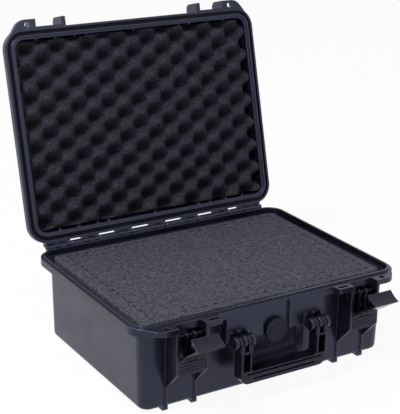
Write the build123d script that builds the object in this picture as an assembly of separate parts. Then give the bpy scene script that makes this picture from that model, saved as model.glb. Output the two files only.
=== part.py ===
from build123d import *
import math
import os

# Hard waterproof carrying case with a hinged lid, two double-throw latches, a folding
# handle and a pressure valve. Millimetres. +X to the right along the front, +Y from the
# latches towards the hinge, +Z up. The origin is the middle of the flat underside.
# The lid and what it carries are drawn shut, then turned open about the hinge pin.

# ---------------------------------------------------------------- clearances and fits
parting_gap = 0.5       # between the shut lid and the base
moving_gap = 0.5        # between faces that swing past each other
pin_clearance = 0.06    # radial, a pin in its hole
seat_gap = 0.3          # a loose pad from the wall that holds it

# ---------------------------------------------------------------- base shell
rim_width = 464.0
rim_depth = 342.0
rim_radius = 32.0
base_height = 136.0     # underside to the rim's land
flange_height = 12.0
flange_overhang = 15.0  # rim edge to the wall below it
wall_draft = 2.8        # how far the wall leans in from the rim to the underside
wall = 3.5
floor = 4.0
wall_radius = 19.5
bottom_round = 7.0
tongue_inset = 6.5      # rim edge to the middle of the sealing tongue
tongue_width = 3.0
tongue_height = 3.0
land_drop = 8.0         # the gutter inside the tongue is this deep

# ---------------------------------------------------------------- lid shell
lid_height = 40.0       # parting plane to the top
lid_flange_height = 11.0
lid_overhang = 13.0     # rim edge to the lid's wall
lid_top_round = 8.0
lid_open_angle = 104.35
gasket_width = 4.8
gasket_groove_depth = 6.5
gasket_clearance = 0.2
lip_inset = 11.35       # rim edge to the middle of the inner lip
lip_width = 2.7
lip_height = 2.4
tooth_setbacks = (56.0, 90.0, 124.0, 144.5)     # from the rim's side, besides the one in the middle
tooth_width = 7.0
tooth_height = 3.2
tooth_start = 5.0       # parting plane to where the teeth begin
lid_rib_setbacks = (62.0, 122.0, 192.0)
lid_rib_width = 12.0
lid_rib_height = 1.6

# ---------------------------------------------------------------- hinge
hinge_setback = 7.6     # rim edge to the pin's axis
barrel_radius = 4.5
hinge_pin_radius = 2.0
hinge_pin_setback = 24.0        # rim's side to the pin's end
cluster_setbacks = (54.0, 106.0, 168.0)     # rim's side to each knuckle cluster, besides the middle one
lid_knuckle_width = 6.0
lid_knuckle_offset = 9.5
web_thickness = 4.5
web_root = 4.0              # how far a web runs into the rim
hinge_plate_half = 14.5     # plate on the lid that closes each cluster
hinge_plate_lip = 4.0       # the plate's upper part reaches this far over the barrel
long_bar_radius = 5.6       # the base's barrel is thicker between the clusters

# ---------------------------------------------------------------- latch brackets
bay_setback = 79.5      # rim's side to the middle of the bay
bay_width = 44.5
fin_thickness = 4.0
lid_inner_fin = 7.5     # the lid's fin on the handle side is thicker
fin_reach = 15.0        # in front of the rim edge
fin_straight = 72.0     # rim down to where the fin starts to slope back
fin_slope_end = 104.0   # rim down to the end of the slope
rib_reach = 2.5         # the low rib stands this far off the wall
ear_thickness = 8.0
inner_ear_width = 29.0
inner_ear_taper = 2.5
ear_slot_length = 18.0
ear_slot_width = 5.5
ear_slot_setback = 8.5  # in front of the rim edge
outer_ear_width = 41.25
outer_ear_corner = 22.0
ear_root = 6.0          # how far the ears run back into the rim
padlock_radius = 4.5
padlock_offset = 10.75  # outer fin to the middle of the hole
padlock_setback = 6.8
strike_thickness = 2.8  # the lid's flange between its two fins
strike_reach = 2.5
lid_fin_depth = 34.0
foot_height = 6.0
foot_width = 8.0
foot_length = 16.0

# ---------------------------------------------------------------- latches
latch_pin_radius = 2.5
latch_pin_drop = 17.0       # rim down to the upper pin
latch_pin_reach = 6.0       # rim edge out to the upper pin
link_pin_radius = 1.6
link_pin_drop = 50.0
link_pin_reach = 12.5
link_barrel_radius = 3.8
lever_boss_radius = 4.6
lever_arm_width = 16.0
lever_arm_rib = 3.0         # the arm is a channel: two ribs on a thin back
lever_arm_back = 2.0
lever_plate_height = 21.0
lever_plate_thickness = 4.0
lever_corner = 7.0
lever_rib_count = 4
lever_rib_height = 1.0
clasp_plate_thickness = 3.0
clasp_tip_rise = 64.2       # link pin up to the clasp's tip
clasp_tip_reach = 6.8       # link pin out to the tip
clasp_rest_angle = 51.0     # how far the clasp hangs out from shut
nose_grip = 2.5             # how far behind the rim edge the nose reaches
nose_end = 1.8
nose_hollow = 1.2           # how far the nose's upper face is dished

# ---------------------------------------------------------------- handle
handle_span = 133.0         # between the middles of its two knuckles
pivot_drop = 45.0           # rim down to the pivot
pivot_reach = 13.0          # rim edge out to the pivot
lug_pitch = 14.0
lug_thickness = 5.4
lug_gap = 1.2               # between a lug and the prong beside it
lug_edge = 0.7
lug_bead = 2.5              # root of a lug that stands up against the block's face
lug_root_rise = 12.0        # pivot up to the root's top
lug_dip = 3.0               # pivot up to the low stretch between disc and root
lug_radius = 9.5
prong_radius = 9.0
handle_pin_radius = 2.5
arm_width = 18.0
arm_wall = 3.0
handle_thickness = 21.0
handle_lead = 1.2           # the grip hangs this far in front of the pivot
grip_top_drop = 46.0        # pivot down to the finger side of the grip
grip_height = 19.0
grip_corner = 13.0
grip_round = 4.5
groove_height = 3.0
groove_depth = 7.0
groove_drops = (3.5, 11.5)  # grip's top down to each groove's middle
groove_setbacks = (9.5, 20.5)   # handle's side to each groove's end

# ---------------------------------------------------------------- handle block and scoop
block_margin = 4.3          # block beyond the outermost lug
block_bottom_drop = 50.0    # rim down to the block's lower edge
channel_half_width = 23.0
channel_depth = 4.0
channel_top_drop = 3.4      # rim down to the channel's upper end
scoop_margin = 1.5          # scoop's side short of the knuckles' middle
scoop_depth = 7.0
scoop_bottom_drop = 92.0    # rim down to where the scoop's floor starts
scoop_slope = 20.0
scoop_corner = 16.0

# ---------------------------------------------------------------- pressure valve
valve_drop = 47.0
knob_radius = 19.0
knob_thickness = 6.5
knob_flutes = 24
flute_radius = 1.6
knob_rim = 4.5              # raised rim around the knob's face
knob_boss_radius = 9.0
knob_reach = 3.0            # its face lies this far in front of the rim edge
valve_recess = 4.0          # the valve's seat lies this deep in the channel's face
valve_pocket = 1.0          # room around the valve's flange in there
valve_boss_radius = 16.0
valve_stem_radius = 7.0
valve_flange_radius = 14.0
valve_flange_thickness = 2.0
valve_nut_thickness = 4.0
valve_nut_across = 22.0
valve_seal_thickness = 1.5

# ---------------------------------------------------------------- foam
foam_gap_sides = 2.0
foam_gap_ends = 4.0
foam_radius = 12.0
foam_top_drop = 2.0         # below the rim's land
pad_thickness = 16.0
lid_foam_thickness = 33.0
lid_foam_gap = 3.5          # from the lid's wall, past the teeth
egg_pitch_x = 55.9          # peak to peak along the rows
egg_pitch_y = 39.4
egg_pit = (-3.0, 5.8)       # where one of the pits lies in the lid
egg_relief = 25.0

# ---------------------------------------------------------------- places worked out from these
front = -rim_depth / 2
back = rim_depth / 2
hinge_y = back + hinge_setback
hinge_z = base_height + parting_gap / 2
lid_plane = base_height + parting_gap
lid_top = lid_plane + lid_height
draft_angle = math.degrees(math.atan(wall_draft / base_height))
wall_front = front + flange_overhang
lid_front = front + lid_overhang
latch_pin = (front - latch_pin_reach, base_height - latch_pin_drop)
link_pin = (front - link_pin_reach, base_height - link_pin_drop)
pivot = (front - pivot_reach, base_height - pivot_drop)
valve_z = base_height - valve_drop
block_face = front
block_bottom = base_height - block_bottom_drop
channel_face = block_face + channel_depth
valve_seat = channel_face + valve_recess
scoop_floor_y = wall_front + scoop_depth + wall_draft * pivot_drop / base_height
block_half_width = handle_span / 2 + lug_pitch + lug_thickness / 2 + block_margin
scoop_half_width = handle_span / 2 - scoop_margin
bay_centre = rim_width / 2 - bay_setback
inner_fin = bay_centre - bay_width / 2 - fin_thickness
outer_fin = bay_centre + bay_width / 2
padlock_place = outer_fin + fin_thickness + padlock_offset
hinge_pin_length = rim_width - 2 * hinge_pin_setback
barrel_end = hinge_pin_length / 2 - 1
cluster_places = [0.0] + [rim_width / 2 - setback for setback in cluster_setbacks]
foam_width = rim_width - 2 * (flange_overhang + wall + foam_gap_sides)
foam_depth = rim_depth - 2 * (flange_overhang + wall + foam_gap_ends)
lid_foam_inset = lid_overhang + wall + lid_foam_gap


def wall_y(z):
    """Outside of the front wall at height z."""
    return wall_front + wall_draft * (base_height - z) / base_height


def plan(inset, radius):
    """The rim's outline drawn in by an inset."""
    return RectangleRounded(rim_width - 2 * inset, rim_depth - 2 * inset, radius)


def ring(inset, width, z, height):
    """A band that follows the rim, its middle an inset from the edge."""
    outer = plan(inset - width / 2, rim_radius - inset + width / 2)
    inner = plan(inset + width / 2, rim_radius - inset - width / 2)
    return extrude(Plane.XY.offset(z) * (outer - inner), amount=height)


def box(x, y, z):
    """A block between two values along each axis."""
    size = [abs(b - a) for a, b in (x, y, z)]
    middle = [(a + b) / 2 for a, b in (x, y, z)]
    return Pos(*middle) * Box(*size)


def yz_prism(points, x_from, x_to):
    """A side profile given as y, z points, drawn out along X."""
    face = make_face(Polyline(*points, close=True))
    return extrude(Plane.YZ.offset(x_from) * face, amount=x_to - x_from)


def x_rod(radius, centre, x_from, x_to):
    """A round bar along X with its axis through y, z."""
    at = Plane.YZ.offset(x_from) * Pos(centre[0], centre[1])
    return extrude(at * Circle(radius), amount=x_to - x_from)


def both_sides(shape):
    return shape + mirror(shape, about=Plane.YZ)


def opened(shape):
    """Turn a piece drawn on the shut lid to where it lies with the lid open."""
    return shape.rotate(Axis((0, hinge_y, hinge_z), (1, 0, 0)), -lid_open_angle)


# ================================================================ base shell
def base_tub():
    """Drafted outside of the base with its rim flange, still solid."""
    top = Plane.XY.offset(base_height)
    body = extrude(top * plan(flange_overhang, wall_radius), amount=-base_height, taper=draft_angle)
    body = fillet(body.edges().group_by(Axis.Z)[0], bottom_round)
    flange = extrude(top * plan(0, rim_radius), amount=-flange_height)
    flange = chamfer(flange.edges().group_by(Axis.Z)[-1], 0.8)
    return body + flange


def base_inside():
    """The room inside the walls, with the lower land that clears the lid's inner lip."""
    top = Plane.XY.offset(base_height)
    inside = plan(flange_overhang + wall, wall_radius - wall)
    step = plan(tongue_inset + tongue_width / 2, rim_radius - tongue_inset - tongue_width / 2)
    room = extrude(top * inside, amount=floor - base_height, taper=draft_angle)
    return room + extrude(top * step, amount=-land_drop)


def scoop(grow):
    """Finger room behind the handle, as the solid to cut, or grown by a wall for its liner."""
    y_in = scoop_floor_y + grow
    z_top = block_bottom + grow
    z_low = base_height - scoop_bottom_drop
    z_end = z_low - scoop_slope
    profile = [
        (front, z_top),
        (y_in, z_top),
        (y_in, z_low),
        (wall_y(z_end) - grow, z_end - grow),
        (front, z_end - grow),
    ]
    half = scoop_half_width + grow
    solid = yz_prism(profile, -half, half)
    upright = solid.edges().filter_by(Axis.Z).sort_by(Axis.Y)[-2:]
    return fillet(upright, scoop_corner + grow)


def handle_block():
    """Thick pad under the rim that carries the handle lugs, and the channel down its middle."""
    across = (-block_half_width, block_half_width)
    pad = box(across, (block_face, wall_front + wall), (block_bottom, base_height - 1))
    pad = fillet(pad.edges().filter_by(Axis.Z).group_by(Axis.Y)[0], 2.5)
    channel = box((-channel_half_width, channel_half_width), (block_face, channel_face),
                  (block_bottom, base_height - channel_top_drop))
    return pad, channel


def handle_lug(x):
    """One of the fixed knuckles: a disc whose web dips behind it and rises again at its root."""
    y, z = pivot
    half = lug_thickness / 2
    y_bead = block_face - lug_bead
    web = yz_prism([
        (block_face + 1, z + lug_root_rise),
        (y_bead, z + lug_root_rise),
        (y_bead, z + lug_dip),
        (y, z + lug_dip),
        (y, z - lug_radius),
        (block_face + 1, block_bottom),
    ], x - half, x + half)
    disc = x_rod(lug_radius, pivot, x - half, x + half)
    return web + chamfer(disc.edges().filter_by(GeomType.CIRCLE), lug_edge)


def base_fin(x_from):
    """Side plate of a latch bay, from the rim's ear down to the low rib and its foot."""
    low = base_height - fin_slope_end
    profile = [
        (wall_front + 1, base_height),
        (front - fin_reach, base_height),
        (front - fin_reach, base_height - fin_straight),
        (wall_y(low) - rib_reach, low),
        (wall_y(bottom_round) - rib_reach, bottom_round),
        (wall_y(0) - rib_reach + bottom_round, 0),
        (wall_y(0) + bottom_round, floor / 2),
        (wall_y(bottom_round) + wall / 2, bottom_round),
    ]
    return yz_prism(profile, x_from, x_from + fin_thickness)


def foot(x):
    """Stubby foot under a rib, its outer end rounded like the rib above it."""
    y_out = wall_y(0) + 0.5
    pad = box((x - foot_width / 2, x + foot_width / 2), (y_out, y_out + foot_length),
              (-foot_height, floor / 2))
    return fillet(pad.edges().filter_by(Axis.X).group_by(Axis.Z)[0], 2.5)


def inner_ear(z_from, thickness):
    """Tapered plate beside the inner fin."""
    x_in = inner_fin - inner_ear_width + fin_thickness
    y_out = front - fin_reach
    outline = Polyline((inner_fin + 1, front + 1), (x_in, front + 1), (x_in, front),
                       (x_in + inner_ear_taper, y_out), (inner_fin + 1, y_out), close=True)
    plate = extrude(Plane.XY.offset(z_from) * make_face(outline), amount=thickness)
    return plate


def outer_ear(z_from, thickness):
    """Plate from the outer fin that runs out into the rim's corner, with the padlock hole."""
    x_in = outer_fin + fin_thickness - 1
    x_out = x_in + outer_ear_width
    y_out = front - fin_reach
    outline = Polyline((x_in, front + ear_root), (x_in, y_out), (x_out - fin_reach, y_out),
                       (x_out, front + ear_root), close=True)
    plate = extrude(Plane.XY.offset(z_from) * make_face(outline), amount=thickness)
    corner = plate.edges().filter_by(Axis.Z).sort_by(Axis.Y)[:2].sort_by(Axis.X)[-1]
    plate = fillet(corner, outer_ear_corner)
    hole = Pos(padlock_place, front - padlock_setback, z_from) * Cylinder(padlock_radius, 4 * thickness)
    return plate - hole


def base_bracket():
    """Right-hand latch bracket: two fins, the slotted inner ear and the padlock ear."""
    z_ear = base_height - ear_thickness
    slot_x = inner_fin + fin_thickness - (inner_ear_width + fin_thickness - 1) / 2
    slot_y = front - ear_slot_setback
    slot = box((slot_x - ear_slot_length / 2, slot_x + ear_slot_length / 2),
               (slot_y - ear_slot_width / 2, slot_y + ear_slot_width / 2),
               (z_ear - 1, base_height + 1))
    bracket = base_fin(inner_fin) + base_fin(outer_fin)
    bracket += inner_ear(z_ear, ear_thickness) - slot
    bracket += outer_ear(z_ear, ear_thickness)
    bore = x_rod(latch_pin_radius + pin_clearance, latch_pin, inner_fin - 1, outer_fin + fin_thickness + 1)
    return bracket - bore


def base_hinge_spans():
    """Ends of each length of base barrel along X: long bars, and one knuckle in each cluster."""
    gap = lid_knuckle_width / 2 + moving_gap
    middles = sorted({s * c for c in cluster_places for s in (-1, 1)})
    edges = [-barrel_end]
    for c in middles:
        edges += [c - lid_knuckle_offset - gap, c - lid_knuckle_offset + gap,
                  c + lid_knuckle_offset - gap, c + lid_knuckle_offset + gap]
    edges.append(barrel_end)
    return list(zip(edges[0::2], edges[1::2]))


def hinge_barrel(x_from, x_to, up):
    """A length of barrel with its web to the base (up = -1) or to the lid (up = 1)."""
    side = parting_gap / 2 * up
    y_root = back - web_root
    web = yz_prism([(y_root, hinge_z + side), (hinge_y, hinge_z + side),
                    (hinge_y, hinge_z + web_thickness * up), (y_root, hinge_z + (web_thickness + 3) * up)],
                   x_from, x_to)
    return web + x_rod(barrel_radius, (hinge_y, hinge_z), x_from, x_to)


def base_shell():
    pad, channel = handle_block()
    body = base_tub() + pad - channel
    body -= extrude(along_y(Circle(valve_flange_radius + valve_pocket), valve_seat), amount=valve_recess)
    body += both_sides(base_bracket())
    body -= base_inside()
    body += ring(tongue_inset, tongue_width, base_height - land_drop, land_drop + tongue_height)
    behind_wall = box((-rim_width / 2, rim_width / 2), (wall_front + wall_draft, 0), (floor, base_height))
    body += scoop(wall) & behind_wall
    body -= scoop(0)
    y_boss = scoop_floor_y + wall
    body += extrude(along_y(Circle(valve_boss_radius), y_boss), amount=y_boss - valve_seat)
    for x in (inner_fin + fin_thickness / 2, outer_fin + fin_thickness / 2):
        body += both_sides(foot(x))
        body += both_sides(mirror(foot(x), about=Plane.XZ))
    for n in (-1, 0, 1):
        body += both_sides(handle_lug(handle_span / 2 + n * lug_pitch))
    handle_bore = x_rod(handle_pin_radius + pin_clearance, pivot, handle_span / 2 - 2 * lug_pitch,
                        handle_span / 2 + 2 * lug_pitch)
    body -= both_sides(handle_bore)
    for x_from, x_to in base_hinge_spans():
        body += hinge_barrel(x_from, x_to, -1)
        shoulder = hinge_plate_half - lid_knuckle_offset - lid_knuckle_width / 2
        if x_to - x_from > 2 * lid_knuckle_offset and max(abs(x_from), abs(x_to)) < barrel_end:
            body += x_rod(long_bar_radius, (hinge_y, hinge_z), x_from + shoulder, x_to - shoulder)
    body -= x_rod(hinge_pin_radius + pin_clearance, (hinge_y, hinge_z), -rim_width / 2, rim_width / 2)
    stem = extrude(along_y(Circle(valve_stem_radius + pin_clearance), 0), amount=-front)
    return body - stem


# ================================================================ lid shell, drawn shut
def lid_fin(x_from, thickness):
    """Side plate of the latch bay on the lid, rounded off towards the lid's top."""
    y_in = lid_front + 1
    y_out = front - fin_reach
    z_end = lid_plane + lid_fin_depth
    plate = yz_prism([(y_in, lid_plane), (y_out, lid_plane), (y_out, z_end), (y_in, z_end)],
                     x_from, x_from + thickness)
    corner = plate.edges().filter_by(Axis.X).sort_by(Axis.Y)[:2].sort_by(Axis.Z)[-1]
    return fillet(corner, 10)


def lid_bracket():
    """Right-hand latch bracket on the lid: two fins, the padlock ear and the strike between them."""
    strike = box((inner_fin + 1, outer_fin + fin_thickness - 1), (front - strike_reach, front + nose_grip),
                 (lid_plane, lid_plane + strike_thickness))
    bracket = lid_fin(inner_fin + fin_thickness - lid_inner_fin, lid_inner_fin)
    bracket += lid_fin(outer_fin, fin_thickness)
    return bracket + outer_ear(lid_plane, ear_thickness) + strike


def lid_tooth(x):
    """Small upright rib that grips the edge of the foam."""
    y = lid_front + wall
    outline = Polyline((x - tooth_width / 2, y - 1), (x - tooth_width / 2, y), (x, y + tooth_height),
                       (x + tooth_width / 2, y), (x + tooth_width / 2, y - 1), close=True)
    start = Plane.XY.offset(lid_plane + tooth_start)
    return extrude(start * make_face(outline), amount=lid_height - wall - tooth_start)


def hinge_plate(c):
    """Pad on the back of the lid's rim that closes a knuckle cluster; the end ones run to the pin's end."""
    x_in = abs(c) - hinge_plate_half
    x_out = barrel_end if abs(c) == max(cluster_places) else abs(c) + hinge_plate_half
    y_out = hinge_y - barrel_radius - moving_gap
    pad = box((x_in, x_out), (back - web_root, y_out), (lid_plane, lid_plane + lid_flange_height))
    pad += box((x_in, x_out), (back - web_root, y_out + hinge_plate_lip),
               (hinge_z + barrel_radius + moving_gap, lid_plane + lid_flange_height))
    return pad if c >= 0 else mirror(pad, about=Plane.YZ)


def lid_rib(x):
    """Raised stiffening rib across the lid's top."""
    length = rim_depth - 2 * flange_overhang - 60
    rib = Pos(x, 0, lid_top + lid_rib_height / 2) * Box(lid_rib_width, length, lid_rib_height)
    rib = fillet(rib.edges().filter_by(Axis.Z), 5)
    return chamfer(rib.edges().group_by(Axis.Z)[-1], 0.8)


def lid_heel(x_from, x_to):
    """Tail of a lid knuckle that meets the back of the base's rim when the lid is open."""
    reach = hinge_setback - seat_gap
    corners = [(-reach, -2.0), (-reach, -7.0), (-reach + 3.5, -7.0), (0.0, -barrel_radius + 0.3), (0.0, -1.0)]
    points = [(hinge_y + y, hinge_z + z) for y, z in corners]
    heel = yz_prism(points, x_from, x_to)
    return heel.rotate(Axis((0, hinge_y, hinge_z), (1, 0, 0)), lid_open_angle)


def lid_shell():
    low = Plane.XY.offset(lid_plane)
    body = extrude(low * plan(lid_overhang, wall_radius), amount=lid_height, taper=draft_angle)
    body = fillet(body.edges().group_by(Axis.Z)[-1], lid_top_round)
    flange = extrude(low * plan(0, rim_radius), amount=lid_flange_height)
    body += chamfer(flange.edges().group_by(Axis.Z)[0], 0.8)
    inside = plan(lid_overhang + wall, wall_radius - wall)
    body -= extrude(low * inside, amount=lid_height - wall, taper=draft_angle)
    body += ring(lip_inset, lip_width, lid_plane - lip_height, lip_height + 1)
    bay = box((inner_fin + fin_thickness, outer_fin), (front - 1, front + nose_grip + moving_gap),
              (lid_plane + strike_thickness, lid_plane + lid_flange_height + 1))
    body -= both_sides(bay)
    body += both_sides(lid_bracket())
    body -= ring(tongue_inset, gasket_width + 2 * gasket_clearance, lid_plane, gasket_groove_depth)
    body += lid_tooth(0) + mirror(lid_tooth(0), about=Plane.XZ)
    for setback in tooth_setbacks:
        tooth = both_sides(lid_tooth(rim_width / 2 - setback))
        body += tooth + mirror(tooth, about=Plane.XZ)
    for setback in lid_rib_setbacks:
        body += both_sides(lid_rib(rim_width / 2 - setback))
    half = lid_knuckle_width / 2
    for c in sorted({s * c for c in cluster_places for s in (-1, 1)}):
        body += hinge_plate(c)
        for x in (c - lid_knuckle_offset, c + lid_knuckle_offset):
            body += hinge_barrel(x - half, x + half, 1)
            body += lid_heel(x - half, x + half)
    body -= x_rod(hinge_pin_radius + pin_clearance, (hinge_y, hinge_z), -rim_width / 2, rim_width / 2)
    return body


def lid_gasket():
    """Rubber ring pressed into the lid's groove, clear of the base's tongue."""
    z_low = base_height + tongue_height + seat_gap
    z_high = lid_plane + gasket_groove_depth
    band = ring(tongue_inset, gasket_width, z_low, z_high - z_low)
    return fillet(band.edges().group_by(Axis.Z)[0], 0.8)


# ================================================================ foam
def foam_block(z_from, z_to):
    """A layer cut to follow the draft of the base's walls."""
    lean = 2 * wall_draft * (base_height - foam_top_drop - z_to) / base_height
    outline = RectangleRounded(foam_width - lean, foam_depth - lean, foam_radius)
    return extrude(Plane.XY.offset(z_to) * outline, amount=z_from - z_to, taper=draft_angle)


def foam_notch():
    """Room at the front for the scoop's liner and the valve's nut."""
    depth = scoop_floor_y + wall + valve_nut_thickness + 2 * moving_gap
    return box((-scoop_half_width - 2 * wall, scoop_half_width + 2 * wall), (front, depth),
               (-1, valve_z + valve_boss_radius + moving_gap))


def base_foams():
    """Solid pad on the floor and two layers of pick-and-pluck foam above it."""
    low = floor + seat_gap
    high = base_height - foam_top_drop
    z_pad = low + pad_thickness
    z_mid = (z_pad + high) / 2
    spans = {
        "base_foam_pad": (low, z_pad),
        "base_foam_pluck_lower": (z_pad + seat_gap, z_mid),
        "base_foam_pluck_upper": (z_mid + seat_gap, high),
    }
    return {name: foam_block(*span) - foam_notch() for name, span in spans.items()}


def lid_foam():
    """Egg-crate foam: peaks and pits in turn on a checkerboard, as four-sided points."""
    width = rim_width - 2 * lid_foam_inset
    depth = rim_depth - 2 * lid_foam_inset
    z_peaks = lid_top - wall - lid_foam_thickness
    z_mid = z_peaks + egg_relief / 2
    reach_x = width / 2 + abs(egg_pit[0])
    reach_y = depth / 2 + abs(egg_pit[1])
    whole = box((0, reach_x), (0, reach_y), (z_peaks, z_peaks + lid_foam_thickness))
    slab = box((0, reach_x), (0, reach_y), (z_mid, z_peaks + lid_foam_thickness))
    cell = (egg_pitch_x / 2, egg_pitch_y / 2)
    point = egg_point(cell)
    peaks = []
    pits = []
    for i in range(math.ceil(reach_x / cell[0]) + 1):
        for j in range(math.ceil(reach_y / cell[1]) + 1):
            place = Pos(i * cell[0], j * cell[1], z_mid)
            if (i + j) % 2:
                peaks.append(place * Rot(180, 0, 0) * point)
            else:
                pits.append(place * point)
    half = both_sides((slab + peaks - pits) & whole)
    field = Pos(egg_pit[0], egg_pit[1]) * (half + mirror(half, about=Plane.XZ))
    outline = Plane.XY.offset(z_peaks) * RectangleRounded(width, depth, foam_radius)
    return field & extrude(outline, amount=lid_foam_thickness)


def egg_point(cell):
    """A four-sided point on one cell, half the relief high."""
    foot_of_point = Plane.XY * Rectangle(cell[0], cell[1])
    tip = Plane.XY.offset(egg_relief / 2) * Rectangle(cell[0] / 50, cell[1] / 50)
    return loft([foot_of_point, tip], ruled=True)


# ================================================================ latch, right-hand, drawn shut
def latch_lever():
    """Finger plate with two link barrels along its top and a channel arm up to the pin in the fins."""
    half = bay_width / 2 - moving_gap
    arm_half = lever_arm_width / 2
    tongue = arm_half + moving_gap
    y, z = link_pin
    y_pin, z_pin = latch_pin
    y_face = y - lever_plate_thickness / 2
    z_low = z - link_barrel_radius - lever_plate_height
    plate = box((-half, half), (y_face, y_face + lever_plate_thickness), (z_low, z - 2))
    plate = fillet(plate.edges().filter_by(Axis.Y).group_by(Axis.Z)[0], lever_corner)
    for n in range(lever_rib_count):
        z_rib = z - link_barrel_radius - 3.0 - n * (lever_plate_height - 4) / lever_rib_count
        plate += box((-half + 3, half - 3), (y_face - lever_rib_height, y_face + 1),
                     (z_rib - 1.1, z_rib + 1.1))
    plate += x_rod(link_barrel_radius, link_pin, -half, half)
    plate -= x_rod(link_barrel_radius + moving_gap, link_pin, -tongue, tongue)
    lever = plate
    y_clear = y + link_barrel_radius + moving_gap + 0.5
    y_back = y_pin + lever_boss_radius - 1
    side = [(y + 1, z - 12), (y + lever_plate_thickness, z - 12), (y_back, z), (y_back, z_pin),
            (y_pin - 3, z_pin), (y_pin - 1, z + 8), (y_clear, z + 2), (y_clear, z - 6)]
    for x_from in (-arm_half, arm_half - lever_arm_rib):
        lever += yz_prism(side, x_from, x_from + lever_arm_rib)
        lever += x_rod(lever_boss_radius, latch_pin, x_from, x_from + lever_arm_rib)
    z_back = z_pin - latch_pin_radius - 2 * moving_gap
    floor_of_channel = [(y + 1, z - 12), (y + lever_plate_thickness, z - 12), (y_back, z), (y_back, z_back),
                        (y_back - lever_arm_back, z_back), (y_back - lever_arm_back, z + 0.6)]
    lever += yz_prism(floor_of_channel, -arm_half, arm_half)
    lever -= box((-tongue, tongue), (y - 10, y), (z - link_barrel_radius - moving_gap, z + 10))
    lever -= x_rod(link_pin_radius + pin_clearance, link_pin, -half - 1, half + 1)
    lever -= x_rod(latch_pin_radius + pin_clearance, latch_pin, -half - 1, half + 1)
    return lever


def latch_clasp():
    """Leaning plate on the link pin, folded over at its tip into a dished nose that grips the strike."""
    half = bay_width / 2 - moving_gap
    y, z = link_pin
    tip = (y - clasp_tip_reach, z + clasp_tip_rise)
    z_start = z + link_barrel_radius + 2.2
    y_start = y - link_barrel_radius / 2
    z_strike = lid_plane + strike_thickness + moving_gap
    y_edge = front - strike_reach - moving_gap
    y_nose = front + nose_grip
    thick = clasp_plate_thickness
    middle = ((tip[0] + y_nose) / 2 - nose_hollow / 2, (tip[1] + z_strike + nose_end) / 2 - nose_hollow)
    upper = ThreePointArc(tip, middle, (y_nose, z_strike + nose_end))
    under = Polyline((y_nose, z_strike + nose_end), (y_nose, z_strike), (y_edge, z_strike),
                     (y_edge, z_strike - 3.6), (y_edge - thick, z_strike - 3.6),
                     (y_edge - thick - 1, z_strike + 1.5), (tip[0] + thick + 1, tip[1] - 2.2 * thick),
                     (y_start + thick, z_start), (y_start, z_start), tip)
    clasp = extrude(Plane.YZ.offset(-half) * make_face(upper + under), amount=2 * half)
    tongue = lever_arm_width / 2
    clasp += yz_prism([(y_start, z_start + 1), (y - link_barrel_radius, z), (y + link_barrel_radius, z),
                       (y_start + thick, z_start + 1)], -tongue, tongue)
    clasp += x_rod(link_barrel_radius, link_pin, -tongue, tongue)
    clasp -= x_rod(link_pin_radius + pin_clearance, link_pin, -half - 1, half + 1)
    return clasp


def latch_parts():
    """Every latch piece at its place in the right-hand bay, the clasp swung out to rest."""
    half = bay_width / 2
    out = Axis((0, link_pin[0], link_pin[1]), (1, 0, 0))
    pieces = {
        "latch_lever": latch_lever(),
        "latch_clasp": latch_clasp().rotate(out, clasp_rest_angle),
        "latch_link_pin": x_rod(link_pin_radius, link_pin, -half + 1, half - 1),
        "latch_pivot_pin": x_rod(latch_pin_radius, latch_pin, -half - fin_thickness, half + fin_thickness),
    }
    return {name: Pos(bay_centre, 0, 0) * piece for name, piece in pieces.items()}


# ================================================================ handle, hanging down
def handle():
    """Bow handle: a grooved grip and two hollow arms that end in pairs of prongs."""
    x_mid = handle_span / 2
    x_out = x_mid + arm_width / 2
    x_in = x_mid - arm_width / 2
    y, z = pivot
    y_front = y - handle_lead - handle_thickness / 2
    y_back = y - handle_lead + handle_thickness / 2
    z_arm = z - lug_radius - 3.5
    z_grip = z - grip_top_drop
    z_low = z_grip - grip_height
    body = box((-x_out, x_out), (y_front, y_back), (z_low, z_arm))
    body = fillet(body.edges().filter_by(Axis.Y).group_by(Axis.Z)[0], grip_corner)
    window = box((-x_in, x_in), (y_front - 1, y_back + 1), (z_grip, z_arm + 1))
    window = fillet(window.edges().filter_by(Axis.Y).group_by(Axis.Z)[0], 4)
    body -= window
    body = fillet(body.edges().group_by(Axis.Y)[0] + body.edges().group_by(Axis.Y)[-1], 1.5)
    for drop, setback in zip(groove_drops, groove_setbacks):
        z_groove = z_grip - drop
        half = x_out - setback
        body -= box((-half, half), (y_front - 1, y_front + groove_depth),
                    (z_groove - groove_height / 2, z_groove + groove_height / 2))
    prong_offset = lug_pitch / 2
    prong_half = (lug_pitch - lug_thickness) / 2 - lug_gap
    pocket_half = arm_width / 2 - arm_wall
    prong_side = [(y_front + 1.5, z), (y_back - 1.5, z), (y_back - 0.5, z_arm - 2),
                  (y_front + 0.5, z_arm - 2)]
    for side in (-1, 1):
        middle = side * x_mid
        body -= box((middle - pocket_half, middle + pocket_half), (y_front - 1, y_back - 5),
                    (z_grip + 1.5, z_arm - 3))
        for step in (-1, 1):
            x = middle + step * prong_offset
            body += yz_prism(prong_side, x - prong_half, x + prong_half)
            disc = x_rod(prong_radius, pivot, x - prong_half, x + prong_half)
            body += chamfer(disc.edges().filter_by(GeomType.CIRCLE), lug_edge)
        above = box((middle - 2 * lug_pitch, middle + 2 * lug_pitch), (y - 30, y + 30), (z - 3, z + 40))
        body -= above - x_rod(prong_radius, pivot, middle - 3 * lug_pitch, middle + 3 * lug_pitch)
    body -= both_sides(x_rod(handle_pin_radius + pin_clearance, pivot, x_in - 5, x_out + 5))
    return body


def handle_pin():
    half = lug_pitch + lug_thickness / 2
    return x_rod(handle_pin_radius, pivot, handle_span / 2 - half, handle_span / 2 + half)


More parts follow.
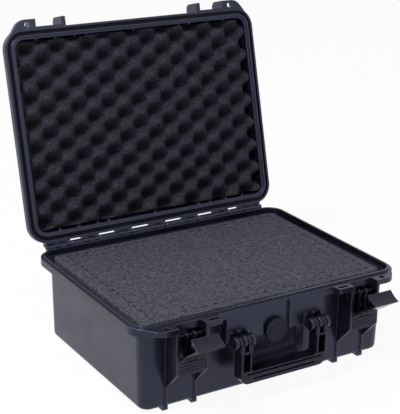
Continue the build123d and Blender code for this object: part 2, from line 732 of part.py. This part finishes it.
# ================================================================ pressure valve
def along_y(shape, y):
    """Place a flat sketch at the valve's axis, facing the front, at depth y."""
    return Plane.XZ.offset(-y) * Pos(0, valve_z) * shape


def valve_parts():
    """Knob, threaded body, seal and inside nut of the pressure valve."""
    knob_face = front - knob_reach
    knob_back = knob_face + knob_thickness
    knob = extrude(along_y(Circle(knob_radius), knob_back), amount=knob_thickness)
    knob = chamfer(knob.edges().filter_by(GeomType.CIRCLE).group_by(Axis.Y)[0], 0.6)
    for spot in PolarLocations(knob_radius + 0.5, knob_flutes):
        knob -= extrude(along_y(spot * Circle(flute_radius), knob_back + 1), amount=knob_thickness + 2)
    dish = Circle(knob_radius - knob_rim) - Circle(knob_boss_radius)
    knob -= extrude(along_y(dish, knob_face + 0.8), amount=2)
    hub_depth = knob_back - 0.5
    flange_out = valve_seat - valve_seal_thickness - valve_flange_thickness
    hub_end = flange_out + 4.5
    knob += extrude(along_y(Circle(3.0), hub_end), amount=hub_end - hub_depth)
    inner_face = scoop_floor_y + wall
    stem_end = inner_face + valve_nut_thickness + 0.2
    stem_hole = Circle(valve_stem_radius + pin_clearance)
    body = extrude(along_y(Circle(valve_flange_radius), flange_out + valve_flange_thickness),
                   amount=valve_flange_thickness)
    body += extrude(along_y(Circle(valve_stem_radius), stem_end), amount=stem_end - flange_out)
    body -= extrude(along_y(Circle(3.0 + pin_clearance), flange_out + 6.0), amount=10)
    body -= extrude(along_y(Circle(1.5), stem_end + 1), amount=stem_end - flange_out + 2)
    seal = Circle(valve_flange_radius - 1) - stem_hole
    nut = RegularPolygon(valve_nut_across / 2, 6, major_radius=False) - stem_hole
    return {
        "valve_knob": knob,
        "valve_body": body,
        "valve_seal": extrude(along_y(seal, valve_seat), amount=valve_seal_thickness),
        "valve_nut": extrude(along_y(nut, inner_face + valve_nut_thickness), amount=valve_nut_thickness),
    }


# ================================================================ the pieces
def all_nodes():
    nodes = {"base_shell": base_shell()}
    nodes.update(base_foams())
    nodes["lid_shell"] = opened(lid_shell())
    nodes["lid_gasket"] = opened(lid_gasket())
    nodes["lid_foam"] = opened(lid_foam())
    half = hinge_pin_length / 2
    nodes["hinge_pin"] = x_rod(hinge_pin_radius, (hinge_y, hinge_z), -half, half)
    for name, piece in latch_parts().items():
        nodes[name + "_right"] = piece
        nodes[name + "_left"] = mirror(piece, about=Plane.YZ)
    nodes["handle"] = handle()
    nodes["handle_pin_right"] = handle_pin()
    nodes["handle_pin_left"] = mirror(handle_pin(), about=Plane.YZ)
    nodes.update(valve_parts())
    return nodes


os.makedirs("parts", exist_ok=True)
for node, shape in all_nodes().items():
    export_step(shape, f"parts/{node}.step")
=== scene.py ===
import bpy
import numpy as np
from math import radians, sin, cos, pi
from mathutils import Matrix, Vector


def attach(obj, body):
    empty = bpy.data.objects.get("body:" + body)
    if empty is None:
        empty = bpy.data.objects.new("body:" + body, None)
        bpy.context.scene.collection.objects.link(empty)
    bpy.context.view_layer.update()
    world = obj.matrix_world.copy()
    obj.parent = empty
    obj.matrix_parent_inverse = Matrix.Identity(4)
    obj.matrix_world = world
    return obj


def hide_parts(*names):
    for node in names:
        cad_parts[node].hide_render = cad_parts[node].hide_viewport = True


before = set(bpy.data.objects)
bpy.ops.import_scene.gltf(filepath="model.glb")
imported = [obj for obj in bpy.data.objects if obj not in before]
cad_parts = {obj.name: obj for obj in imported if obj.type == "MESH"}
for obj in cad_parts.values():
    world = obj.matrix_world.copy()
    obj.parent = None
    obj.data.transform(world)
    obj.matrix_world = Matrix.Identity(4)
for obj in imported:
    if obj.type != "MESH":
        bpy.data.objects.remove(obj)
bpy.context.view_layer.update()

print("frame loaded")

# lengths are in metres, or in millimetres where the name ends in Mm, and angles are in degrees

# the lid's turn about the hinge pin, from shut to the way it lies open
hinge = {"y": 0.1786, "z": 0.13625, "open": 104.35}


def linear(text):
    # sRGB hex to linear colour
    values = [int(text[i:i + 2], 16) / 255 for i in (1, 3, 5)]
    return [v / 12.92 if v <= 0.04045 else ((v + 0.055) / 1.055) ** 2.4 for v in values] + [1.0]


def opened(points):
    # an N x 3 array turned from the shut lid to the open one: y and z turn by -open about the pin
    t = radians(-hinge["open"])
    y, z = points[:, 1] - hinge["y"], points[:, 2] - hinge["z"]
    turned = points.copy()
    turned[:, 1] = hinge["y"] + y * cos(t) - z * sin(t)
    turned[:, 2] = hinge["z"] + y * sin(t) + z * cos(t)
    return turned


def addNode(tree, kind, values=None):
    # one node with its settings and links: another node's output is linked in, and any other value goes to
    # the input of that name or number, or else to the node's own setting
    node = tree.nodes.new("ShaderNode" + kind)
    for key, value in (values or {}).items():
        if isinstance(value, bpy.types.NodeSocket):
            tree.links.new(value, node.inputs[key])
        elif isinstance(key, int) or key in node.inputs.keys():
            node.inputs[key].default_value = value
        else:
            setattr(node, key, value)
    return node


def startMaterial(name):
    material = bpy.data.materials.new(name)
    material.use_nodes = True
    tree = material.node_tree
    tree.nodes.clear()
    shader = addNode(tree, "BsdfPrincipled")
    addNode(tree, "OutputMaterial", {"Surface": shader.outputs["BSDF"]})
    place = addNode(tree, "TexCoord").outputs["Object"]
    return material, tree, shader, place


# injection-moulded polypropylene, black, its mould spark-eroded: nearly black seen face on, and the light
# skims off it blue-grey at a slant
plastic = {
    # the edge colour is a painted highlight, a paler colour laid on outer edges
    "color": "#0a0b13", "faded": "#0f101a", "edgeHighlight": "#383a4c", "sheen": "#ccd0ff",
    "roughness": 0.31, "patchy": (-0.05, 0.07), "specular": 0.62,
    "grainMm": 1.3, "grainHeight": 0.00006, "grainBump": 0.5,  # the real grain, 0.2 mm, is too fine to show
    "cloudMm": 60.0, "cloudSpan": (0.35, 0.65),  # broad faint patches, as left by handling
    "edgeMm": 2.2,  # the real round is about 0.5 mm, too fine to show
    "bentSpan": (0.97, 0.80), "openSpan": (0.70, 0.95), "openReach": 0.004,  # which edges get the painted highlight
}

# glass-filled nylon of the handle and latches, moulded: the same black, smoother but with a fainter shine
nylon = dict(plastic, color="#0a0a0f", faded="#0f0f15", roughness=0.20, specular=0.42, cloudMm=25.0,
             edgeMm=1.2)

# nylon of the valve, from a textured mould: the darkest and dullest of the three
valveNylon = dict(nylon, roughness=0.34, specular=0.30)


def makePlastic(name, look):
    material, tree, shader, place = startMaterial(name)
    grain = addNode(tree, "TexNoise", {"Scale": 1000 / look["grainMm"], "Detail": 3.0, "Vector": place})
    cloud = addNode(tree, "TexNoise", {"Scale": 1000 / look["cloudMm"], "Detail": 3.0, "Vector": place})
    colors = {6: linear(look["color"]), 7: linear(look["faded"])}
    mixed = addNode(tree, "Mix", {"data_type": "RGBA", **colors, "Factor": cloud.outputs["Fac"]})
    # a moulded edge is never sharp: its small round catches the light
    edge = addNode(tree, "Bevel", {"samples": 6, "Radius": look["edgeMm"] / 1000}).outputs["Normal"]
    # painted highlight: outer edges are painted paler where the rounded normal leaves the flat one, and the
    # place is open
    flat = addNode(tree, "NewGeometry").outputs["Normal"]
    turn = addNode(tree, "VectorMath", {"operation": "DOT_PRODUCT", 0: edge, 1: flat}).outputs["Value"]
    low, high = look["bentSpan"]
    bent = addNode(tree, "MapRange", {"From Min": low, "From Max": high, "Value": turn}).outputs["Result"]
    sky = addNode(tree, "AmbientOcclusion", {"samples": 6, "Distance": look["openReach"]}).outputs["AO"]
    low, high = look["openSpan"]
    outer = addNode(tree, "MapRange", {"From Min": low, "From Max": high, "Value": sky}).outputs["Result"]
    paintedHighlight = addNode(tree, "Math", {"operation": "MULTIPLY", 0: bent, 1: outer}).outputs[0]
    # the paler colour is painted over the edges as a highlight
    colors = {6: mixed.outputs[2], 7: linear(look["edgeHighlight"])}
    highlighted = addNode(tree, "Mix", {"data_type": "RGBA", **colors, "Factor": paintedHighlight})
    tree.links.new(highlighted.outputs[2], shader.inputs["Base Color"])
    # the patches are a little rougher or smoother than the rest
    low, high = look["cloudSpan"]
    smooth, rough = (look["roughness"] + change for change in look["patchy"])
    span = {"From Min": low, "From Max": high, "To Min": smooth, "To Max": rough}
    spread = addNode(tree, "MapRange", {**span, "Value": cloud.outputs["Fac"]})
    tree.links.new(spread.outputs["Result"], shader.inputs["Roughness"])
    relief = {"Strength": look["grainBump"], "Distance": look["grainHeight"]}
    bump = addNode(tree, "Bump", {**relief, "Height": grain.outputs["Fac"], "Normal": edge})
    tree.links.new(bump.outputs["Normal"], shader.inputs["Normal"])
    shader.inputs["Specular IOR Level"].default_value = look["specular"]
    shader.inputs["Specular Tint"].default_value = linear(look["sheen"])
    return material


def makeFoam(name, look):
    material, tree, shader, place = startMaterial(name)
    # pores and clumps of pores, in equal parts
    halves = []
    for size, detail, roughness in (look["pores"], look["clumps"]):
        grain = {"Scale": 1000 / size, "Detail": detail, "Roughness": roughness, "Vector": place}
        noise = addNode(tree, "TexNoise", grain).outputs["Fac"]
        halves.append(addNode(tree, "Math", {"operation": "MULTIPLY", 0: noise, 1: 0.5}).outputs[0])
    pores = addNode(tree, "Math", {"operation": "ADD", 0: halves[0], 1: halves[1]}).outputs[0]
    low, high = look["poreSpan"]
    spread = addNode(tree, "MapRange", {"From Min": low, "From Max": high, "Value": pores})
    colors = {6: linear(look["low"]), 7: linear(look["high"])}
    mixed = addNode(tree, "Mix", {"data_type": "RGBA", **colors, "Factor": spread.outputs["Result"]})
    # painted shade: the egg crate's pits are painted darker, and the die cuts are darker lines; both lie
    # deeper
    dark = look["shade"](tree, place, look)
    colors = {6: mixed.outputs[2], 7: linear(look["deep"])}
    shaded = addNode(tree, "Mix", {"data_type": "RGBA", **colors, "Factor": dark})
    tree.links.new(shaded.outputs[2], shader.inputs["Base Color"])
    height = addNode(tree, "Math", {"operation": "SUBTRACT", 0: pores, 1: dark}).outputs[0]
    relief = {"Strength": look["bump"], "Distance": look["bumpHeight"], "Height": height}
    bump = addNode(tree, "Bump", relief)
    tree.links.new(bump.outputs["Normal"], shader.inputs["Normal"])
    shader.inputs["Roughness"].default_value = look["roughness"]
    shader.inputs["Specular IOR Level"].default_value = look["specular"]
    return material


def pitShade(tree, place, look):
    # light dies in the pits of the egg crate, whose depth from 0 to 1 the mesh carries
    # the deep colour laid in the pits is painted shade
    depth = addNode(tree, "Attribute", {"attribute_name": "pit"}).outputs["Fac"]
    span = {"From Min": look["darkFrom"], "From Max": 1.0, "To Max": look["dark"]}
    return addNode(tree, "MapRange", {**span, "Value": depth}).outputs["Result"]


def slitShade(tree, place, look):
    # die-cut columns: a faint cross where four meet, and a dashed line around the outermost ones
    axes = addNode(tree, "SeparateXYZ", {"Vector": place}).outputs
    marks = {"slit": [], "arm": [], "dash": [], "line": [], "inside": []}
    for axis in (0, 1):
        center, half, pitch = look["middle"][axis], look["half"][axis], look["pitch"][axis]
        middle = addNode(tree, "Math", {"operation": "SUBTRACT", 0: axes[axis], 1: center}).outputs[0]
        # how far a point is from the nearest slit, from the middle, and from the dashed line
        off = addNode(tree, "Math", {"operation": "PINGPONG", 0: middle, 1: pitch / 2}).outputs[0]
        side = addNode(tree, "Math", {"operation": "ABSOLUTE", 0: middle}).outputs[0]
        past = addNode(tree, "Math", {"operation": "SUBTRACT", 0: side, 1: half}).outputs[0]
        away = addNode(tree, "Math", {"operation": "ABSOLUTE", 0: past}).outputs[0]
        reaches = {"slit": (off, look["cut"]), "arm": (off, look["arm"]), "dash": (off, look["dash"]),
                   "line": (away, look["cut"]), "inside": (side, half + look["margin"])}
        for mark, (distance, reach) in reaches.items():
            # 1 nearer than reach, falling softly to 0 past it
            start, end = reach - look["soft"], reach + look["soft"]
            step = {"From Min": start, "From Max": end, "To Min": 1.0, "To Max": 0.0, "Value": distance}
            marks[mark].append(addNode(tree, "MapRange", step).outputs["Result"])
    # an arm of a cross is a slit along one axis within the arm's reach on the other, and so are the dashes
    pairs = (("slit", 0, "arm", 1), ("slit", 1, "arm", 0), ("line", 0, "dash", 1), ("line", 1, "dash", 0),
             ("inside", 0, "inside", 1))
    joined = []
    for first, i, second, j in pairs:
        both = {0: marks[first][i], 1: marks[second][j]}
        joined.append(addNode(tree, "Math", {"operation": "MULTIPLY", **both}).outputs[0])
    cross = addNode(tree, "Math", {"operation": "MAXIMUM", 0: joined[0], 1: joined[1]}).outputs[0]
    faint = addNode(tree, "Math", {"operation": "MULTIPLY", 0: cross, 1: look["faint"]}).outputs[0]
    dashed = addNode(tree, "Math", {"operation": "MAXIMUM", 0: joined[2], 1: joined[3]}).outputs[0]
    most = addNode(tree, "Math", {"operation": "MAXIMUM", 0: faint, 1: dashed}).outputs[0]
    shown = addNode(tree, "Math", {"operation": "MULTIPLY", 0: most, 1: joined[4]}).outputs[0]
    return addNode(tree, "Math", {"operation": "MULTIPLY", 0: shown, 1: look["dark"]}).outputs[0]


# open-cell polyurethane foam, cut into columns by a die: matt and full of pores, each strut of a cell
# catching a little light; the real pores, about 0.5 mm, are too fine to show, so they are drawn coarser
baseFoamLook = {
    "low": "#212128", "high": "#5c5c6a", "deep": "#101014", "roughness": 0.95, "specular": 0.1,
    "pores": (2.0, 4.0, 0.65), "clumps": (5.0, 3.0, 0.7), "poreSpan": (0.38, 0.62),  # mm, detail, roughness
    "bump": 0.8, "bumpHeight": 0.0011, "shade": slitShade, "dark": 0.85, "faint": 0.25,
    "pitch": (0.0175, 0.017), "middle": (0.0033, 0.002), "half": (0.1925, 0.136), "margin": 0.001,
    # half widths; a real cut has next to none, so it is drawn as wide as it needs to show
    "cut": 0.0011, "arm": 0.0040, "dash": 0.0050, "soft": 0.00035,
}

# the lid's polyurethane foam, cut by a profiling knife: darker, with a finer cell, and painted darkest in
# its pits as shade
lidFoamLook = {
    "low": "#18181e", "high": "#3e3e4a", "deep": "#050507", "roughness": 0.95, "specular": 0.1,
    "pores": (1.7, 4.0, 0.65), "clumps": (4.2, 3.0, 0.7), "poreSpan": (0.38, 0.62),  # mm, detail, roughness
    "bump": 0.8, "bumpHeight": 0.0010, "shade": pitShade, "dark": 0.50, "darkFrom": 0.25,
}

# extruded EPDM rubber: deep black, slightly waxy, its skin faintly uneven
rubberLook = {
    "color": "#07070b", "sheen": "#ccd0ff", "roughness": 0.6, "specular": 0.25,
    "unevenMm": 2.5, "bump": 0.2, "bumpHeight": 0.0001,
}


def makeRubber(name, look):
    material, tree, shader, place = startMaterial(name)
    noise = addNode(tree, "TexNoise", {"Scale": 1000 / look["unevenMm"], "Detail": 2.0, "Vector": place})
    relief = {"Strength": look["bump"], "Distance": look["bumpHeight"], "Height": noise.outputs["Fac"]}
    bump = addNode(tree, "Bump", relief)
    tree.links.new(bump.outputs["Normal"], shader.inputs["Normal"])
    shader.inputs["Base Color"].default_value = linear(look["color"])
    shader.inputs["Specular Tint"].default_value = linear(look["sheen"])
    shader.inputs["Roughness"].default_value = look["roughness"]
    shader.inputs["Specular IOR Level"].default_value = look["specular"]
    return material


# steel rod, drawn and blackened, with fine lines along its length: one thin bright line down a dark bar;
# the rods lie along x, and the real lines are too fine to show, so they are drawn 0.4 mm apart
steelLook = {"color": "#222329", "linesPerMetre": (60.0, 2500.0, 2500.0), "roughness": (0.22, 0.38)}


def makeSteel(name, look):
    material, tree, shader, place = startMaterial(name)
    stretch = addNode(tree, "Mapping", {"Scale": look["linesPerMetre"], "Vector": place}).outputs["Vector"]
    lines = addNode(tree, "TexNoise", {"Scale": 1.0, "Detail": 2.0, "Vector": stretch}).outputs["Fac"]
    smooth, rough = look["roughness"]
    spread = addNode(tree, "MapRange", {"To Min": smooth, "To Max": rough, "Value": lines})
    tree.links.new(spread.outputs["Result"], shader.inputs["Roughness"])
    shader.inputs["Base Color"].default_value = linear(look["color"])
    shader.inputs["Metallic"].default_value = 1.0
    return material


polypropylene = makePlastic("Moulded polypropylene", plastic)
nylonBlack = makePlastic("Moulded glass-filled nylon", nylon)
nylonMatt = makePlastic("Moulded nylon, textured", valveNylon)
pluckFoam = makeFoam("Die-cut polyurethane foam", baseFoamLook)
eggFoam = makeFoam("Profile-cut polyurethane foam", lidFoamLook)
rubber = makeRubber("Extruded EPDM rubber", rubberLook)
steel = makeSteel("Drawn steel rod", steelLook)

# the rods are steel, the two shells polypropylene, and what is not named here is the nylon of the handle
nodeMaterials = {
    "base_foam_pad": pluckFoam, "base_foam_pluck_lower": pluckFoam, "base_foam_pluck_upper": pluckFoam,
    "lid_foam": eggFoam, "lid_gasket": rubber, "valve_seal": rubber,
    "valve_knob": nylonMatt, "valve_body": nylonMatt, "valve_nut": nylonMatt,
}
for name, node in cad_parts.items():
    usual = steel if "_pin" in name else polypropylene if "shell" in name else nylonBlack
    for index in range(len(node.material_slots)):
        node.material_slots[index].link = "OBJECT"
        node.material_slots[index].material = nodeMaterials.get(name, usual)
print("materials made")


def roundedGrid(width, depth, radius, step):
    # a grid over a rounded rectangle: in a corner's square, a point ex, ey from the corner circle's centre
    # slides in by max(ex, ey) / hypot(ex, ey), which brings the square's outer sides onto the circle
    columns, rows = round(width / step) + 1, round(depth / step) + 1
    across, along = np.linspace(-width / 2, width / 2, columns), np.linspace(-depth / 2, depth / 2, rows)
    x, y = np.meshgrid(across, along)
    ex = np.maximum(np.abs(x) - (width / 2 - radius), 0)
    ey = np.maximum(np.abs(y) - (depth / 2 - radius), 0)
    reach = np.where((ex > 0) & (ey > 0), np.maximum(ex, ey) / np.maximum(np.hypot(ex, ey), 1e-9), 1.0)
    return np.sign(x) * (np.abs(x) - ex * (1 - reach)), np.sign(y) * (np.abs(y) - ey * (1 - reach))


def gridIndex(x):
    # the numbers of a grid's points, and those of its outer points in order, once round from a corner
    index = np.arange(x.size).reshape(x.shape)
    return index, np.concatenate([index[0, :], index[1:, -1], index[-1, -2::-1], index[-2:0:-1, 0]])


def addFoam(name, body, node, x, y, z, pit, levels, material, turn=None):
    # a block of foam: its face is the grid x, y, z, and its sides then go ring by ring to a flat back; pit,
    # from 0 to 1, is kept on the mesh for the foam's shade
    # each level is (z, lean, notch): the face's outline drawn in by lean; where notch is (half width, y),
    # the ring's front is pushed back to that y over that half width
    index, edge = gridIndex(x)
    points = [np.stack([x, y, z], axis=-1).reshape(-1, 3)]
    outline = points[0][edge]
    depths = [pit.reshape(-1)]
    corners = [index[:-1, :-1], index[:-1, 1:], index[1:, 1:], index[1:, :-1]]
    quads = [np.stack(corners, axis=-1).reshape(-1, 4)]
    ring = edge
    for level, lean, notch in levels:
        lower = outline.copy()
        lower[:, 0] *= 1 - 2 * lean / np.ptp(outline[:, 0])
        lower[:, 1] *= 1 - 2 * lean / np.ptp(outline[:, 1])
        lower[:, 2] = level
        if notch:
            front = (np.abs(lower[:, 0]) < notch[0]) & (lower[:, 1] < notch[1])
            lower[front, 1] = notch[1]
        after = sum(len(part) for part in points) + np.arange(len(edge))
        quads.append(np.stack([ring, after, np.roll(after, -1), np.roll(ring, -1)], axis=-1))
        points.append(lower)
        depths.append(depths[0][edge])
        ring = after
    points, quads = np.concatenate(points), np.concatenate(quads)
    # the quads are wound for a face that looks up; where it looks down they are turned over
    if levels[-1][0] > z.mean():
        faces = quads[:, ::-1].tolist() + [ring.tolist()]
    else:
        faces = quads.tolist() + [ring[::-1].tolist()]
    mesh = bpy.data.meshes.new(name)
    mesh.from_pydata((turn(points) if turn else points).tolist(), [], faces)
    mesh.polygons.foreach_set("use_smooth", [True] * (len(faces) - 1) + [False])
    attribute = mesh.attributes.new("pit", "FLOAT", "POINT")
    attribute.data.foreach_set("value", np.concatenate(depths))
    mesh.materials.append(material)
    piece = bpy.data.objects.new(name, mesh)
    bpy.context.scene.collection.objects.link(piece)
    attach(piece, body)
    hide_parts(node)


# egg-crate foam in the lid, peaks and pits by turns; z is upright with the lid shut, its face looking down
egg = {
    "width": 0.4284, "depth": 0.3016, "radius": 0.012, "step": 0.0019, "face": 0.1368, "back": 0.1728,
    "relief": 0.0280, "period": (0.0553, 0.0398), "pit": (-0.0032, 0.0047), "askew": 1.23, "narrow": 1.35,
    "roundDrop": 0.0012, "roundOut": 0.0002,  # the small round where the face meets the sides
}


def makeEggFoam():
    x, y = roundedGrid(egg["width"], egg["depth"], egg["radius"], egg["step"])
    # depth = ((1 + cos u cos v) / 2) ^ narrow, u and v one turn to a period along axes cut a little askew:
    # pits where both cosines agree, and broad peaks between them
    c, s = cos(radians(egg["askew"])), sin(radians(egg["askew"]))
    dx, dy = x - egg["pit"][0], y - egg["pit"][1]
    along = np.cos(2 * pi * (dx * c + dy * s) / egg["period"][0])
    across = np.cos(2 * pi * (dy * c - dx * s) / egg["period"][1])
    deep = ((1 + along * across) / 2) ** egg["narrow"]
    z = egg["face"] + egg["relief"] * deep
    edge = gridIndex(x)[1]
    levels = [(z.reshape(-1)[edge] + egg["roundDrop"], -egg["roundOut"], None), (egg["back"], 0.0, None)]
    addFoam("egg_crate_foam", "lid", "lid_foam", x, y, z, deep, levels, eggFoam, opened)


# three layers of foam in the base, from the top down; their sides lean in with the case's walls, and their
# front gives way to the bump behind the handle, from notchTop down
layers = {
    "radius": 0.012, "step": 0.003, "leanPerMetre": 2.8 / 136,
    "notch": (0.0745, -0.1395), "notchTop": 0.1055, "notchStep": 0.0002,  # notch is its half width and its y
    "round": 0.0016, "roundSteps": ((0.3, 0.7), (1.0, 1.0), (2.5, 1.0)),  # down and out, in shares of round
    "lift": 0.00025, "shuffle": (565.0, 3419.0), "margin": (0.012, 0.008),
    "pieces": {  # node, width, depth, bottom and top
        "pluck_foam_top": ("base_foam_pluck_upper", 0.4226, 0.2966, 0.0776, 0.1340),
        "pluck_foam_bottom": ("base_foam_pluck_lower", 0.4203, 0.2943, 0.0207, 0.0770),
        "floor_pad": ("base_foam_pad", 0.4179, 0.2919, 0.0044, 0.0202),
    },
}


def makeBaseFoams():
    small, notch, notchTop, look = layers["round"], layers["notch"], layers["notchTop"], baseFoamLook
    for name, (node, width, depth, low, high) in layers["pieces"].items():
        x, y = roundedGrid(width - 2 * small, depth - 2 * small, layers["radius"] - small, layers["step"])
        # each column stands a hair lower than the margin, by lift * (1 - sin(shuffled row and column))
        column, row = (np.floor((v - look["middle"][k]) / look["pitch"][k]) for k, v in enumerate((x, y)))
        shuffled = layers["shuffle"][0] * column + layers["shuffle"][1] * row
        lift = layers["lift"] * np.sin(shuffled) - layers["lift"]
        marginX, marginY = layers["margin"]
        margin = (np.abs(x) > width / 2 - marginX) | (np.abs(y) > depth / 2 - marginY)
        z = np.where(margin, high, high + lift)
        # the sides: a small round at the top, then straight down, leaning in
        under = notch if high < notchTop else None
        levels = [(high - down * small, -out * small, under) for down, out in layers["roundSteps"]]
        if under:
            # the whole layer gives way: its middle columns are squeezed back, most at the front
            squeeze = (notch[1] + depth / 2 - small) * (depth / 2 - small - y) / (depth - 2 * small)
            y = np.where(np.abs(x) < notch[0], y + squeeze, y)
        else:
            lean = layers["leanPerMetre"] * (high - notchTop) - small
            levels += [(notchTop, lean, None), (notchTop - layers["notchStep"], lean, notch)]
        levels.append((low, layers["leanPerMetre"] * (high - low) - small, notch))
        addFoam(name, "base", node, x, y, z, np.zeros_like(x), levels, pluckFoam)


makeEggFoam()
makeBaseFoams()
print("foam made")

# studio: a white sweep, a broad lamp high on the left, a small one high behind and a weak one in front
studio = {
    "lamps": {  # place, watts and width
        "key": ((-1.7, -0.5, 2.4), 60.0, 0.7),
        "back": ((-0.6, 1.3, 2.1), 12.0, 0.5),
        "fill": ((0.5, -3.0, 1.8), 13.0, 1.6),
    },
    "aim": (0.0, 0.05, 0.2), "world": 0.38,
    "floor": "#f6f6f6", "matt": 0.9, "paper": 0.93, "reach": 6.0, "level": -0.006,
}


def seenAsWhite(tree):
    # 1 to the camera, in reflections and through glass, and 0 for the light that falls on things
    path = addNode(tree, "LightPath").outputs
    rays = {0: path["Is Glossy Ray"], 1: path["Is Transmission Ray"]}
    bounced = addNode(tree, "Math", {"operation": "MAXIMUM", **rays}).outputs[0]
    return addNode(tree, "Math", {"operation": "MAXIMUM", 0: path["Is Camera Ray"], 1: bounced}).outputs[0]


def makeStudio():
    reach, level = studio["reach"], studio["level"]
    corners = [(x * reach, y * reach, level) for x, y in ((-1, -1), (1, -1), (1, 1), (-1, 1))]
    floor = bpy.data.meshes.new("floor")
    floor.from_pydata(corners, [], [(0, 1, 2, 3)])
    # white paper, matt: to the eye and in reflections it is mostly a light of its own, so it stays white,
    # and the rest of it keeps the shadow
    material, tree, shader, _ = startMaterial("White paper sweep")
    shader.inputs["Base Color"].default_value = linear(studio["floor"])
    shader.inputs["Roughness"].default_value = studio["matt"]
    shader.inputs["Specular IOR Level"].default_value = 0.0
    part = {0: seenAsWhite(tree), 1: studio["paper"]}
    share = addNode(tree, "Math", {"operation": "MULTIPLY", **part}).outputs[0]
    glow = addNode(tree, "Emission", {"Color": linear("#ffffff")})
    mixed = addNode(tree, "MixShader", {0: share, 1: shader.outputs["BSDF"], 2: glow.outputs["Emission"]})
    output = [node for node in tree.nodes if node.type == "OUTPUT_MATERIAL"][0]
    tree.links.new(mixed.outputs["Shader"], output.inputs["Surface"])
    floor.materials.append(material)
    piece = bpy.data.objects.new("floor", floor)
    bpy.context.scene.collection.objects.link(piece)
    # the world is white to the eye too, and grey as a light
    world = bpy.data.worlds.new("Studio")
    bpy.context.scene.world = world
    world.use_nodes = True
    tree = world.node_tree
    tree.nodes.clear()
    span = {"To Min": studio["world"], "To Max": 1.0, "Value": seenAsWhite(tree)}
    strength = addNode(tree, "MapRange", span).outputs["Result"]
    back = addNode(tree, "Background", {"Color": linear("#ffffff"), "Strength": strength})
    addNode(tree, "OutputWorld", {"Surface": back.outputs["Background"]})
    for name, (place, power, size) in studio["lamps"].items():
        lamp = bpy.data.lights.new(name, "AREA")
        lamp.energy, lamp.size = power, size
        holder = bpy.data.objects.new(name, lamp)
        bpy.context.scene.collection.objects.link(holder)
        holder.location = place
        holder.rotation_euler = (Vector(studio["aim"]) - Vector(place)).to_track_quat("-Z", "Y").to_euler()


makeStudio()

# the camera: it looks right by yaw and down by pitch; lens and sensor are in millimetres
shot = {
    "place": (-0.9617, -1.5050, 0.8611), "yaw": 31.23, "pitch": 19.36, "roll": 0.72,
    "lens": 106.66, "sensor": 36, "shift": (0.0269, -0.0113),
}


def makeCamera():
    yaw, pitch, roll = (radians(shot[k]) for k in ("yaw", "pitch", "roll"))
    ahead = Vector((sin(yaw) * cos(pitch), cos(yaw) * cos(pitch), -sin(pitch)))
    right = Vector((cos(yaw), -sin(yaw), 0))
    up = right.cross(ahead)
    side = right * cos(roll) + up * sin(roll)
    top = up * cos(roll) - right * sin(roll)
    matrix = Matrix((side, top, -ahead)).transposed().to_4x4()
    matrix.translation = shot["place"]
    camera = bpy.data.cameras.new("camera")
    camera.lens = shot["lens"]
    camera.sensor_width = shot["sensor"]
    camera.shift_x, camera.shift_y = shot["shift"]
    holder = bpy.data.objects.new("camera", camera)
    bpy.context.scene.collection.objects.link(holder)
    holder.matrix_world = matrix
    bpy.context.scene.camera = holder


makeCamera()
bpy.context.scene.view_settings.view_transform = "Standard"
print("camera and lights set")
